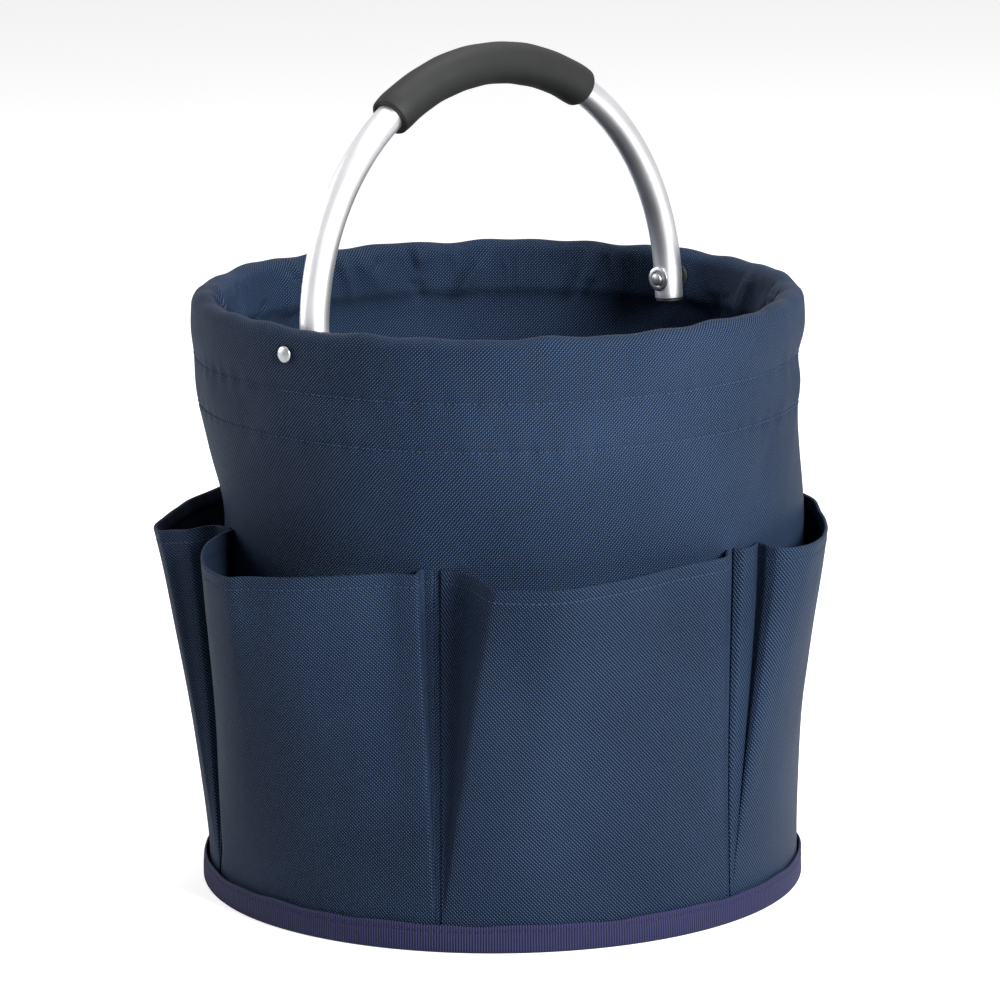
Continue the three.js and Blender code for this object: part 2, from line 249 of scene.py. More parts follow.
def stitches(name, centre, along, out, length=2.5, width=0.55, proud=0.18):
    """A row of thread stitches: one small rounded shape, five rings of six points, laid at each
    centre, long side along the seam, with its middle lifted off the cloth and both ends diving
    into it."""
    out = out - along * np.sum(out * along, -1, keepdims=True)
    out /= np.linalg.norm(out, axis=-1, keepdims=True)
    cross = np.cross(out, along)
    steps = np.array([-1.0, -0.72, 0.0, 0.72, 1.0])
    thick = np.array([0.35, 0.85, 1.0, 0.85, 0.35])
    lift = np.array([-0.5, 0.45, 1.0, 0.45, -0.5]) * proud
    spin = np.arange(6) / 6 * 2 * math.pi
    local = np.stack(np.broadcast_arrays(steps[:, None] * length / 2,
                                         width / 2 * thick[:, None] * np.cos(spin),
                                         width / 2 * thick[:, None] * np.sin(spin) + lift[:, None]),
                     -1).reshape(-1, 3)
    points = (centre[:, None] + local[None, :, :1] * along[:, None]
              + local[None, :, 1:2] * cross[:, None] + local[None, :, 2:] * out[:, None])
    quads, _ = grid_faces(5, 6, False, True)
    ends = np.array([[0, 1, 2, 3, 4, 5], [29, 28, 27, 26, 25, 24]])
    shift = np.arange(len(centre)) * 30
    faces = [(quads[None, :, ::-1] + shift[:, None, None]).reshape(-1, 4),
             (ends[None, :, ::-1] + shift[:, None, None]).reshape(-1, 6)]
    piece = build_mesh(name, points.reshape(-1, 3), faces)
    close_axis(piece)
    return piece


def stitch_along(name, line, out, pitch=3.3, **shape):
    """Stitches spaced evenly along a line of points, with the outward direction at each point."""
    run = np.concatenate([[0], np.cumsum(np.linalg.norm(np.diff(line, axis=0), axis=1))])
    at = np.arange(pitch, run[-1] - pitch / 2, pitch)
    here = np.stack([np.interp(at, run, line[:, k]) for k in range(3)], 1)
    ahead = np.stack([np.interp(at + 0.5, run, line[:, k]) for k in range(3)], 1)
    facing = np.stack([np.interp(at, run, out[:, k]) for k in range(3)], 1)
    along = ahead - here
    along /= np.linalg.norm(along, axis=1, keepdims=True)
    return stitches(name, here, along, facing, **shape)


# ---- surface detail ----
def bend_through(x, knots, values):
    """A smooth curve through a few points that never swings past them: cubic Hermite pieces whose
    slope at a point is the harmonic mean of the slopes on both sides, or level at a turn."""
    knots, values = np.asarray(knots, float), np.asarray(values, float)
    rise = np.diff(values) / np.diff(knots)
    before, after = rise[:-1], rise[1:]
    together = before * after
    middle = np.where(together > 0, 2 * together / np.where(together > 0, before + after, 1), 0)
    slopes = np.concatenate([rise[:1], middle, rise[-1:]])
    x = np.clip(x, knots[0], knots[-1])
    k = np.clip(np.searchsorted(knots, x, side="right") - 1, 0, len(knots) - 2)
    width = knots[k + 1] - knots[k]
    t = (x - knots[k]) / width
    return ((1 + 2 * t) * (1 - t) ** 2 * values[k] + t * (1 - t) ** 2 * width * slopes[k]
            + t * t * (3 - 2 * t) * values[k + 1] + t * t * (t - 1) * width * slopes[k + 1])


def bump(x, centre, width):
    """1 at the centre, falling off like a bell over width."""
    return np.exp(-((x - centre) / width) ** 2)


def apart(angle, centre):
    """Difference of two angles in degrees, from -180 to 180."""
    return (angle - centre + 180) % 360 - 180


def folds(angle, run, seed, count, span, length, width, height, slant):
    """Loose folds of cloth round a ring: the sum of long narrow bells. angle is in degrees, run
    in mm across the ring; length, width, height and slant (degrees off upright) are ranges."""
    rng = np.random.default_rng(seed)
    total = np.zeros(np.broadcast(angle, run).shape)
    for _ in range(count):
        middle, across = rng.uniform(0, 360), rng.uniform(*span)
        tilt = math.radians(rng.uniform(*slant))
        long, narrow, tall = rng.uniform(*length), rng.uniform(*width), rng.uniform(*height)
        x = np.radians(apart(angle, middle)) * RIM_RADIUS
        y = run - across
        along = x * math.sin(tilt) + y * math.cos(tilt)
        off = x * math.cos(tilt) - y * math.sin(tilt)
        total += tall * np.exp(-(along / long) ** 2 - (np.abs(off) / narrow) ** 1.6)
    return total


# ---- bucket wall ----
# The soft wall sags a little to one side behind the pocket tops.
SAG_DIRECTION = np.array([0.67, -0.742])
SEAM_ANGLE = 90                        # degrees, where the ends of the wall's cloths meet
WALL_COLUMNS = 720
LAYER_COLUMNS = 240


def wall_sag(z):
    """How far the wall has slumped sideways at a height, in mm."""
    return bend_through(z, [0, 60, 130, 198, 235, 262, 290, RIM_HEIGHT], [0, 2, 5, 7.4, 3, 0.6, 0, 0])


def wall_radius(z):
    """Radius of the wall's outer face at a height, before folds."""
    return bend_through(z, [0, 40, 110, 198, 240, LOWER_SEAM, UPPER_SEAM, 300, RIM_HEIGHT],
                        [FOOT_RADIUS, 154.6, 152.8, 152.6, 155.9, 157.6, 158.8, RIM_RADIUS, RIM_RADIUS])


def wall_waves(angle, z):
    """Very slow in-and-out of the wall round the bucket, in mm."""
    broad = np.sin(np.radians(3 * angle) + z / 38) + 0.6 * np.sin(np.radians(5 * angle) - z / 27 + 1)
    return 0.45 * broad * np.clip((z - 60) / 100, 0, 1) * np.clip((RIM_HEIGHT - z) / 60, 0, 1)


def wall_drape(angle, z):
    """Soft slanting folds of the whole wall between the pockets and the rim, in mm. All the
    layers of the wall share them."""
    drape = folds(angle, z, 12, 44, (205, 276), (18, 50), (8, 20), (-1.7, 1.5), (20, 75)) \
        + folds(angle, z, 13, 34, (262, 300), (10, 26), (5, 11), (-0.8, 0.7), (-80, 80))
    fade = np.clip((z - 185) / 25, 0, 1) * np.clip((RIM_HEIGHT - z) / 20, 0, 1)
    return np.clip(drape, -2.6, 2.6) * fade


def wall_relief(angle, z):
    """Folds and puckers of the wall's outer face, in mm: the two stitch lines draw the cloth in,
    the channels between them puff out, and each line carries small puckers."""
    around = np.radians(angle) * RIM_RADIUS
    relief = 0.9 * bump(z, (UPPER_SEAM + RIM_HEIGHT) / 2, 13)
    relief = relief + 0.5 * bump(z, (UPPER_SEAM + LOWER_SEAM) / 2, 9)
    for seam, phase in ((UPPER_SEAM, 0.0), (LOWER_SEAM, 1.7)):
        relief = relief - 0.45 * bump(z, seam, 1.8)
        pucker = np.sin(around / 2.1 + phase + 2 * np.sin(around / 17)) * np.sin(around / 41 + phase)
        relief = relief + 0.3 * pucker * bump(z, seam, 5)
    dent = bump(apart(angle, 313), 0, 13) * bump(z, UPPER_SEAM - 1, 9)
    rim_folds = folds(angle, z, 3, 60, (RIM_HEIGHT - 16, RIM_HEIGHT), (6, 16), (2.5, 7), (-0.35, 0.3),
                      (-75, 75))
    relief = relief - 3.0 * dent + wall_waves(angle, z) + rim_folds * bump(z, RIM_HEIGHT - 2, 14)
    relief = relief + wall_drape(angle, z)
    # the two rivets press a shallow round dimple into the hem
    sideways = np.radians(np.minimum(np.abs(apart(angle, 0)), np.abs(apart(angle, 180)))) * RIM_RADIUS
    distance = np.hypot(sideways, z - PIVOT_HEIGHT)
    pressed = np.exp(-(distance / 8) ** 4)
    return relief * (1 - pressed) - 0.35 * pressed


def wall_point(angle, z, depth=0.0):
    """A point of the wall, a given depth below its outer face: a circle of the wall's radius,
    moved by the sag."""
    radius = wall_radius(z) - depth + wall_relief(angle, z)
    turn = np.radians(angle)
    x = radius * np.cos(turn) + SAG_DIRECTION[0] * wall_sag(z)
    y = radius * np.sin(turn) + SAG_DIRECTION[1] * wall_sag(z)
    return np.stack(np.broadcast_arrays(x, y, z), -1)


def ring_point(angle, radius, z):
    """Points at a radius round the sagged centre line of the wall."""
    spin, sag = np.radians(angle), wall_sag(z)
    return np.stack(np.broadcast_arrays(radius * np.cos(spin) + SAG_DIRECTION[0] * sag,
                                        radius * np.sin(spin) + SAG_DIRECTION[1] * sag, z), -1)


def wall_cloth():
    """The wall cloth as a grid of angle by length along its section: up the outside, over the
    rim in half an ellipse, and down inside to the turned-in edge. The inside of the hem is loose,
    so it carries long slanting folds that end at the stitch line."""
    angle = SEAM_ANGLE + np.linspace(0, 360, WALL_COLUMNS, endpoint=False)[:, None]
    crest_foot = PIVOT_HEIGHT + 6
    near_seam = 6
    closer_rows = 180                   # height that the rows lie closer together above
    seam_rows = np.array([-near_seam, -4.2, -2.8, -1.6, -0.6, 0.6, 1.6, 2.8, 4.2])
    heights = np.concatenate([
        np.linspace(FOOT_HEIGHT, closer_rows, 12, endpoint=False),
        np.linspace(closer_rows, LOWER_SEAM - near_seam, 12, endpoint=False),
        LOWER_SEAM + seam_rows,
        np.linspace(LOWER_SEAM + near_seam, UPPER_SEAM - near_seam, 5, endpoint=False),
        UPPER_SEAM + seam_rows,
        np.linspace(UPPER_SEAM + near_seam, crest_foot, 7, endpoint=False)])[None, :]
    outside = wall_point(angle, heights)
    crest_steps = 15
    turn = np.linspace(0, math.pi, crest_steps)[None, :]
    inside_z = np.concatenate([np.linspace(crest_foot, UPPER_SEAM + 2, 18)[1:],
                               np.linspace(UPPER_SEAM, HEM_END, 10)])[None, :]
    wave = 0.5 * np.sin(np.radians(11 * angle) + 1) + 0.4 * np.sin(np.radians(19 * angle)) \
        + 0.4 * np.sin(np.radians(31 * angle) + 2)
    foot_radius = wall_radius(crest_foot) + wall_relief(angle, np.array([[crest_foot]]))
    half = (foot_radius - HEM_RADIUS) / 2
    crest_r = foot_radius - half + half * np.cos(turn)
    crest_z = crest_foot + (RIM_HEIGHT + wave - crest_foot) * np.sin(turn) ** 0.9
    hem_r = bend_through(inside_z, [HEM_END, UPPER_SEAM - 10, UPPER_SEAM, UPPER_SEAM + 8, crest_foot],
                         [wall_radius(HEM_END) - 5.9, wall_radius(UPPER_SEAM - 10) - 6.6,
                          150.6, HEM_RADIUS - 0.6, HEM_RADIUS])
    over_crest = 18                     # mm of cloth over the hoop
    run = np.concatenate([turn / math.pi * over_crest, over_crest + crest_foot - inside_z], 1)
    loose = folds(angle, run, 7, 44, (10, 40), (10, 24), (3.0, 7.0), (2.6, 5.6), (-60, 60)) \
        + folds(angle, run, 8, 44, (8, 40), (9, 22), (1.8, 3.6), (-4.0, -1.8), (-70, 70)) \
        + folds(angle, run, 9, 130, (2, 26), (4, 9), (1.0, 2.2), (-0.6, 0.9), (-60, 60))
    # near the pivots and under the grip's resting place the folds stay low, so that the handle
    # clears the hem when it lies down
    near_pivot = np.minimum(np.abs(apart(angle, 0)), np.abs(apart(angle, 180)))
    most = 0.9 + 4.0 * np.clip((near_pivot - 14) / 26, 0, 1)
    most = most - 1.5 * np.clip((40 - np.abs(apart(angle, 90))) / 8, 0, 1)
    deepest = 1.9                       # how far a fold goes back towards the outer cloth
    loose = np.clip(loose, -deepest, most) * np.clip((near_pivot - 5) / 6, 0, 1)
    on_crest, on_hem = loose[:, :crest_steps], loose[:, crest_steps:]
    crest_r = crest_r - np.maximum(on_crest, 0) * np.clip(turn / math.pi - 0.2, 0, 1)
    held = np.clip(1 - (UPPER_SEAM + 3 - inside_z) / 5, 0.12, 1)
    # behind the hoop the cloth can only fold towards the middle of the bucket
    hoop_foot = PIVOT_HEIGHT - 10
    over_hoop = np.clip((inside_z - hoop_foot) / 4, 0, 1)
    hem_r = hem_r - np.maximum(on_hem, -deepest * (1 - over_hoop)) * held
    grid = np.concatenate([outside, ring_point(angle, crest_r, crest_z),
                           ring_point(angle, hem_r, inside_z)], 1)
    return cloth_shell("wall_cloth", grid, 0.0, CLOTH, True)


def wall_layer(name, depth, thickness, foot, top, slack):
    """A layer inside the wall cloth, a given depth under its outer face."""
    angle = SEAM_ANGLE + np.linspace(0, 360, LAYER_COLUMNS, endpoint=False)[:, None]
    heights = np.linspace(foot, top, 40)[None, :]
    waves = slack * np.sin(np.radians(7 * angle) + heights / 31) \
        * np.sin(np.radians(4 * angle) - heights / 47)
    broad = wall_waves(angle, heights) + wall_drape(angle, heights)
    grid = ring_point(angle, wall_radius(heights) - depth - np.abs(waves) + broad, heights)
    return cloth_shell(name, grid, 0.0, thickness, True)


# ---- pockets ----
# For each pocket: how its stand-off and its folds open from foot to top, as two powers, and its
# outline seen from above at the top edge, anticlockwise: angle in degrees, radius in mm, and the
# angle that the same thread has at the foot. None is the wall itself.
POCKETS = {
    "pocket_left_end": (1.06, 1.0, [
        (150.7, None, 150.6), (154, 156, 151.0), (160.5, 173, 151.7), (166.7, 184.5, 152.8),
        (171, 190, 158), (176.5, 193.6, 166), (179.5, 189.6, 174), (186, 183.5, 184), (195, 172.5, 194),
        (203.5, 162.7, 204.0), (206.2, 163.0, 207.6), (207.3, 162.6, 208.6), (207.2, 159.5, 208.8),
        (206.9, 154, 209.0), (207.6, 150.3, 209.1), (209.3, None, 209.3)]),
    "pocket_front_left": (1.12, 1.0, [
        (210.7, None, 210.6), (213.2, 153.0, 210.7), (216.6, 161, 210.8), (219.2, 173, 210.9),
        (220.5, 180.8, 211.2), (221.6, 183.8, 212.2), (230, 186.8, 222), (240, 181.6, 236),
        (250, 173.2, 250), (259, 169.2, 262), (264.4, 168.6, 268.0), (266.0, 166.5, 268.9),
        (267.8, 162, 269.1), (269.3, None, 269.3)]),
    "pocket_front_right": (1.35, 2.1, [
        (270.7, None, 270.6), (271.7, 163.2, 270.7), (273.8, 163.4, 270.8), (276.2, 161.8, 270.9),
        (277.7, 159.8, 271.0), (277.4, 163.5, 271.05), (276.7, 168.6, 271.1), (276.7, 173, 271.3),
        (277.7, 177.6, 271.8), (279.4, 180.2, 274), (283.5, 182.4, 277), (288, 182, 282), (294, 178.6, 289),
        (301, 173, 298), (309, 169, 308), (317, 168, 318), (322.5, 165.5, 325), (326.6, 163.4, 329.0),
        (329.3, None, 329.3)]),
    "pocket_right_end": (1.15, 1.0, [
        (330.7, None, 330.6), (333, 167, 330.8), (336.5, 173.5, 331.4), (344, 177, 341), (354, 182, 353),
        (364, 183, 364), (374, 179, 375), (382, 176, 385), (385.6, 173, 388.6), (387.4, 163, 389.1),
        (389.3, None, 389.3)]),
    "pocket_back_right": (1.1, 1.0, [
        (30.7, None, 30.6), (34.5, 164, 30.8), (37.4, 175, 31.2), (44, 181, 41), (53, 183, 52),
        (62, 180, 62), (72, 176, 74), (80, 175, 85), (83.4, 172, 88.6), (85.8, 160, 89.1),
        (89.3, None, 89.3)]),
    "pocket_back_left": (1.1, 1.0, [
        (90.7, None, 90.6), (95, 159, 90.8), (99, 166.5, 91.4), (105, 167, 100), (113, 168.2, 110),
        (123, 173, 121), (133, 178.6, 134), (139.6, 182.4, 145), (142.6, 181.8, 147.4), (144.0, 176, 148.2),
        (145.8, 170.4, 148.8), (146.5, 167.6, 148.9), (146.3, 163, 149.0), (145.7, 157.5, 149.05),
        (145.9, 152.6, 149.1), (147.6, 149.6, 149.2), (149.3, None, 149.3)]),
}
HINGE = 15.5                            # the pocket lies flat on the wall below this height
GAP = 0.42                              # from the wall to the pocket's middle
HEM = 7.5                               # folded hem along the pocket top
HEM_LAYER = 0.95                        # the hem's second layer of cloth
HEM_STITCH = HEM - 1.6                  # stitch line, down from the pocket top
POCKET_COLUMNS = 190


def pocket_cloth(name, seed):
    """One pocket panel as a grid of width by height. It lies on the wall at the foot and opens
    outward; every thread keeps the same length, so the top edge sinks where the pocket stands
    out. Soft hollows and leaning folds fall on it."""
    power, fan, outline = POCKETS[name]
    rng = np.random.default_rng(seed)
    top_angle = np.array([point[0] for point in outline], float)
    foot_angle = np.array([point[2] for point in outline], float)
    wall_top = sagged_radius(top_angle, POCKET_LENGTH - 2)
    reach = np.array([0.0 if point[1] is None else point[1] for point in outline])
    reach = np.where(reach > 0, reach - wall_top - GAP, 0)
    x = (wall_top + reach) * np.cos(np.radians(top_angle))
    y = (wall_top + reach) * np.sin(np.radians(top_angle))
    knots = np.concatenate([[0], np.cumsum(np.hypot(np.diff(x), np.diff(y)))])
    at = np.linspace(0, knots[-1], POCKET_COLUMNS)
    angle_top = bend_through(at, knots, top_angle)[:, None]
    angle_foot = bend_through(at, knots, foot_angle)[:, None]
    out = np.maximum(bend_through(at, knots, reach), 0)[:, None]
    slope = POCKET_LENGTH - 1 - HINGE
    rise = np.sqrt(slope ** 2 - out ** 2)
    low = np.linspace(5, HINGE, 5, endpoint=False)
    top_rows = 1 - 12 / slope           # the last 12 mm, with closer rows for the hem
    share = np.concatenate([np.linspace(0, top_rows, 34, endpoint=False),
                            np.linspace(top_rows, 1, 13)])
    z = np.concatenate([np.broadcast_to(low, (len(at), len(low))), HINGE + share * rise], 1)
    opening = np.concatenate([np.zeros(len(low)), share])[None, :]
    angle = angle_foot + (angle_top - angle_foot) * (1 - (1 - opening) ** fan)
    stand = out * opening ** power
    edge = np.clip(np.minimum(at, knots[-1] - at) / 14, 0, 1)[:, None]
    hollow = np.zeros(stand.shape)
    for _ in range(9):
        middle, height = rng.uniform(0.12, 0.88) * knots[-1], rng.uniform(0.15, 0.95)
        wide, tall, deep = rng.uniform(8, 26), rng.uniform(0.16, 0.45), rng.uniform(-1.7, 1.4)
        lean = rng.uniform(-26, 26)
        off = at[:, None] - middle - lean * (opening - height)
        hollow = hollow + deep * np.exp(-(off / wide) ** 2 - ((opening - height) / tall) ** 2)
    ripple = 0.35 * np.sin(at[:, None] / 9.3 + seed) * bump(opening, 1, 0.1)
    stand = stand + (hollow * np.clip(opening * 2.2, 0, 1) + ripple) * edge * np.clip(stand / 9, 0, 1)
    base = sagged_radius(angle, z) + GAP
    spin = np.radians(angle)
    return np.stack([(base + stand) * np.cos(spin), (base + stand) * np.sin(spin), z], -1)


def sagged_radius(angle, z):
    """Distance from the bucket's axis to the sagged wall in a direction."""
    spin = np.radians(angle)
    lean = SAG_DIRECTION[0] * np.cos(spin) + SAG_DIRECTION[1] * np.sin(spin)
    return wall_radius(z) + wall_waves(angle, z) + wall_sag(z) * lean


def pocket(name, seed):
    """A pocket with its hem folded to the inside, and one row of stitches under the top edge."""
    grid = pocket_cloth(name, seed)
    down = lengths_along(grid[:, ::-1], 1)[:, ::-1].mean(0)
    hem = np.clip((HEM - down) / 0.8, 0, 1)
    groove = 0.16 * bump(down, HEM_STITCH, 0.9)
    piece = cloth_shell(name + "_cloth", grid, CLOTH / 2 - groove, CLOTH / 2 + HEM_LAYER * hem, False)
    normal = normals_of(grid, False)
    row = int(np.argmin(np.abs(down - HEM_STITCH)))
    line = grid[:, row] + normal[:, row] * 0.3
    thread = stitch_along(name + "_hem_thread", line, normal[:, row], pitch=3.2)
    return piece, thread


# ---- base ----
TAPE_THICKNESS = 1.15
TAPE_INNER = 152.4                      # edge of the tape folded in under the bucket
TAPE_BEND = 2.4                         # radius of the fold round the foot
TAPE_STITCH = 3.0                       # stitch line, down from the tape's top edge


def binding():
    """The tape round the foot: up the outside, over a soft top edge and folded in under the
    bucket, with the top edge a little wavy where the stitches pull it in."""
    angle = np.linspace(0, 360, 420, endpoint=False)[:, None]
    wave = 0.35 * np.sin(np.radians(13 * angle)) + 0.25 * np.sin(np.radians(29 * angle) + 1)
    face = TAPE_RADIUS - 0.2
    sole = np.linspace(TAPE_INNER, face - TAPE_BEND, 5)
    bend = np.radians(np.linspace(-90, 0, 7)[1:])
    rising = np.linspace(3.4, TAPE_HEIGHT, 9)[1:]
    radius = np.concatenate([sole, face - TAPE_BEND + TAPE_BEND * np.cos(bend),
                             np.full(len(rising), face)])[None, :]
    z = np.concatenate([np.full(len(sole), 0.05), 2.5 + TAPE_BEND * np.sin(bend), rising])[None, :]
    pull = 0.45 * bump(z, TAPE_HEIGHT - TAPE_STITCH, 1.4)
    pull = pull + 0.5 * np.clip((z - TAPE_HEIGHT + 1.5) / 1.5, 0, 1)
    belly = 0.35 * np.sin(np.radians(9 * angle) + z / 9) * np.clip(z / 6, 0, 1)
    radius = radius - pull - 0.15 + np.minimum(belly, 0.2)
    height = z + wave * np.clip((z - 6) / 8, 0, 1)
    spin = np.radians(angle)
    grid = np.stack(np.broadcast_arrays(radius * np.cos(spin), radius * np.sin(spin), height), -1)
    piece = cloth_shell("binding_tape", grid, 0.0, TAPE_THICKNESS, True)
    row = int(np.argmin(np.abs(z[0] - (TAPE_HEIGHT - TAPE_STITCH))))
    line = np.concatenate([grid[:, row], grid[:1, row]])
    out = np.concatenate([normals_of(grid, True)[:, row]] * 2)[: len(line)]
    thread = stitch_along("binding_thread", line, out, pitch=3.6, length=2.8)
    return piece, thread


def floor_panel(name, radius, foot, top, swell):
    """A round cloth panel with a rounded edge and a slightly uneven upper face."""
    count = 180
    spin = np.arange(count) / count * 2 * math.pi
    steps = np.concatenate([np.linspace(0, radius - 1, 26), [radius - 0.3]])
    half = (top - foot) / 2
    uneven = swell * (np.sin(steps[None] / 23 + 2 * np.sin(spin * 2)[:, None]) * 0.5 + 0.5) \
        * np.clip((radius - steps[None]) / 20, 0, 1)
    uneven[:, 0] = uneven[:, 0].mean()
    r = np.concatenate([steps, [radius], steps[::-1]])
    upper = top + uneven
    z = np.concatenate([np.full((count, len(steps)), foot), np.full((count, 1), foot + half),
                        upper[:, ::-1]], 1)
    points = np.stack(np.broadcast_arrays(r * np.cos(spin)[:, None], r * np.sin(spin)[:, None], z), -1)
    quads, flat = grid_faces(count, len(r), True, False)
    extended = np.concatenate([points, points[:1]])
    pattern = extended[..., :2].reshape(-1, 2)
    uv = pattern[quads_to_flat(flat, len(r))] * MM
    piece = build_mesh(name, points.reshape(-1, 3), [quads], uv)
    close_axis(piece)
    return piece


def quads_to_flat(flat, columns):
    """Numbers of an unwrapped grid with one spare column, changed to a grid without it."""
    return (flat // (columns + 1) * columns + flat % (columns + 1)).ravel()


# ---- handle and rivets ----
LEAN = math.radians(3.5)                # the arch leans a little to the back at rest
HALF_SPAN = 138.0
ARCH_RISE = 130.0
TAIL = 11.0                             # tube below the rivets
TUBE = 7.5                              # outer radius of the tube
BORE = 6.3
GRIP_RADIUS = 11.0
GRIP_BORE = 7.9                         # glued to the tube through a thin film
GRIP_REACH = 32.2                       # degrees of the arch to each side of its top


def arch_point(side, height):
    """A point of the handle's plane, from its distance sideways and its height over the pivots."""
    return np.stack(np.broadcast_arrays(side, height * math.sin(LEAN),
                                        PIVOT_HEIGHT + height * math.cos(LEAN)), -1)


ACROSS = np.array([0.0, math.cos(LEAN), -math.sin(LEAN)])


def arch_path(reach=90.0, count=260):
    """Points along the bent tube from -reach to reach degrees of the half ellipse."""
    turn = np.radians(np.linspace(-reach, reach, count))
    return arch_point(HALF_SPAN * np.sin(turn), ARCH_RISE * np.cos(turn))


def handle_tube():
    """The tube: two short straight tails joined by half an ellipse. The rivets pass through it
    under their washers, where no hole shows."""
    tail = np.linspace(-TAIL, -0.5, 14)
    path = np.concatenate([arch_point(np.full(14, -HALF_SPAN), tail), arch_path(),
                           arch_point(np.full(14, HALF_SPAN), tail[::-1])])
    return swept_tube("bent_tube", path, ACROSS, TUBE, BORE, 0.5)


def handle_grip():
    """The foam sleeve, a thick tube with slightly uneven soft skin and rounded ends."""
    count = 150
    path = arch_path(GRIP_REACH, count)
    u = np.linspace(0, 1, count)
    uneven = 0.10 * np.sin(u * 19 + 1) + 0.07 * np.sin(u * 47)
    skin = GRIP_RADIUS + uneven - 0.25 * bump(u, 0, 0.03) - 0.25 * bump(u, 1, 0.03)
    return swept_tube("foam_sleeve", path, ACROSS, skin, GRIP_BORE, 1.1)


def on_side_axis(side):
    """Turns upright solids so that they lie along X at the pivot height; side is -1 or 1."""
    return lambda p: np.stack([side * p[:, 2], p[:, 0], PIVOT_HEIGHT + side * p[:, 1]], 1)


def rivet(name, side):
    """A domed rivet: head outside the rim, shank through the hem and tube, upset tail inside.
    Heights of its profile are distances from the bucket's axis."""
    shank, tail, seat = 2.35, 127.6, 160.1
    dome = [(4.3 * math.cos(a), seat + 0.4 + 1.45 * math.sin(a)) for a in np.linspace(0.05, math.pi / 2, 9)]
    profile = [(0, tail), (2.6, tail), (3.4, tail + 0.5), (3.3, tail + 1.3), (shank, tail + 1.6),
               (shank, seat), (4.1, seat), (4.35, seat + 0.25)] + dome
    return turned(name, profile, 48, on_side_axis(side))


def washer(name, side, start, radius=6.5, bore=2.8, thick=0.8):
    """A flat washer with broken edges."""
    edge = 0.15
    profile = [(bore, start + edge), (bore + edge, start), (radius - edge, start), (radius, start + edge),
               (radius, start + thick - edge), (radius - edge, start + thick), (bore + edge, start + thick),
               (bore, start + thick - edge)]
    return turned(name, profile, 48, on_side_axis(side))


def tube_plug(name, side):
    """The plastic plug in a tube end: a flange with a rounded rim and a stem up the bore."""
    end = -TAIL
    profile = [(0, end - 1.8), (6.4, end - 1.8), (7.1, end - 1.4), (7.2, end - 0.9), (7.1, end - 0.4),
               (6.9, end - 0.3), (5.9, end - 0.3), (5.9, end + 4.6), (5.5, end + 5), (0, end + 5)]

    def place(p):
        """From the plug's own axis to its tube end, in the plane of the arch."""
        flat = arch_point(side * HALF_SPAN + p[:, 0], p[:, 2])
        return flat + p[:, 1:2] * ACROSS
    return turned(name, profile, 48, place)


# ---- materials ----
def srgb(code):
    """Linear colour from an sRGB hex code."""
    parts = np.array([int(code[k:k + 2], 16) for k in (1, 3, 5)]) / 255
    linear = np.where(parts <= 0.04045, parts / 12.92, ((parts + 0.055) / 1.055) ** 2.4)
    return (*linear, 1.0)


def node(tree, kind, settings=None, links=None):
    """Adds one shader node: settings are its properties or input values, links its inputs'
    sources."""
    made = tree.nodes.new(kind)
    for key, value in (settings or {}).items():
        if key in made.inputs:
            made.inputs[key].default_value = value
        else:
            setattr(made, key, value)
    for key, source in (links or {}).items():
        tree.links.new(source, made.inputs[key])
    return made


def material(name, settings):
    """An empty surface material with its node tree and shader node."""
    made = bpy.data.materials.new(name)
    made.use_nodes = True
    tree = made.node_tree
    shader = tree.nodes["Principled BSDF"]
    for key, value in settings.items():
        shader.inputs[key].default_value = value
    return made, tree, shader


def maths(tree, operation, first, second=None, third=None):
    """One arithmetic node; each operand is a number or a socket."""
    made = tree.nodes.new("ShaderNodeMath")
    made.operation = operation
    for k, value in enumerate((first, second, third)):
        if value is None:
            continue
        if isinstance(value, (int, float)):
            made.inputs[k].default_value = value
        else:
            tree.links.new(value, made.inputs[k])
    return made.outputs[0]


def ramp(tree, source, stops):
    """A colour ramp through (position, linear colour) stops."""
    made = node(tree, "ShaderNodeValToRGB", links={0: source})
    elements = made.color_ramp.elements
    while len(elements) < len(stops):
        elements.new(0.5)
    for element, (position, colour) in zip(elements, stops):
        element.position = position
        element.color = colour
    return made.outputs[0]


def noise(tree, vector, scale, detail=2.0, roughness=0.5):
    """The value of a noise texture, from 0 to 1; scale is in cells per unit of the vector."""
    made = node(tree, "ShaderNodeTexNoise", {"Scale": scale, "Detail": detail, "Roughness": roughness},
                {"Vector": vector})
    return made.outputs["Fac"]


def weave_height(tree, uv, pitch, lean):
    """Height of a coarse twill from two sets of slanting waves: their product gives the raised
    crossings. Above 0, lean strengthens the lines that fall to the right, and below 0 the ones
    that rise. pitch is in metres."""
    split = node(tree, "ShaderNodeSeparateXYZ", links={0: uv})
    u, v = split.outputs[0], split.outputs[1]
    turn = 2 * math.pi / pitch
    falling = maths(tree, "SINE", maths(tree, "MULTIPLY", maths(tree, "ADD", u, v), turn * 0.72))
    rising = maths(tree, "SINE", maths(tree, "MULTIPLY", maths(tree, "SUBTRACT", u, v), turn * 0.72))
    crossings = maths(tree, "MULTIPLY", falling, rising)
    lines = maths(tree, "MULTIPLY", falling if lean > 0 else rising, abs(lean))
    return maths(tree, "ADD", crossings, lines)


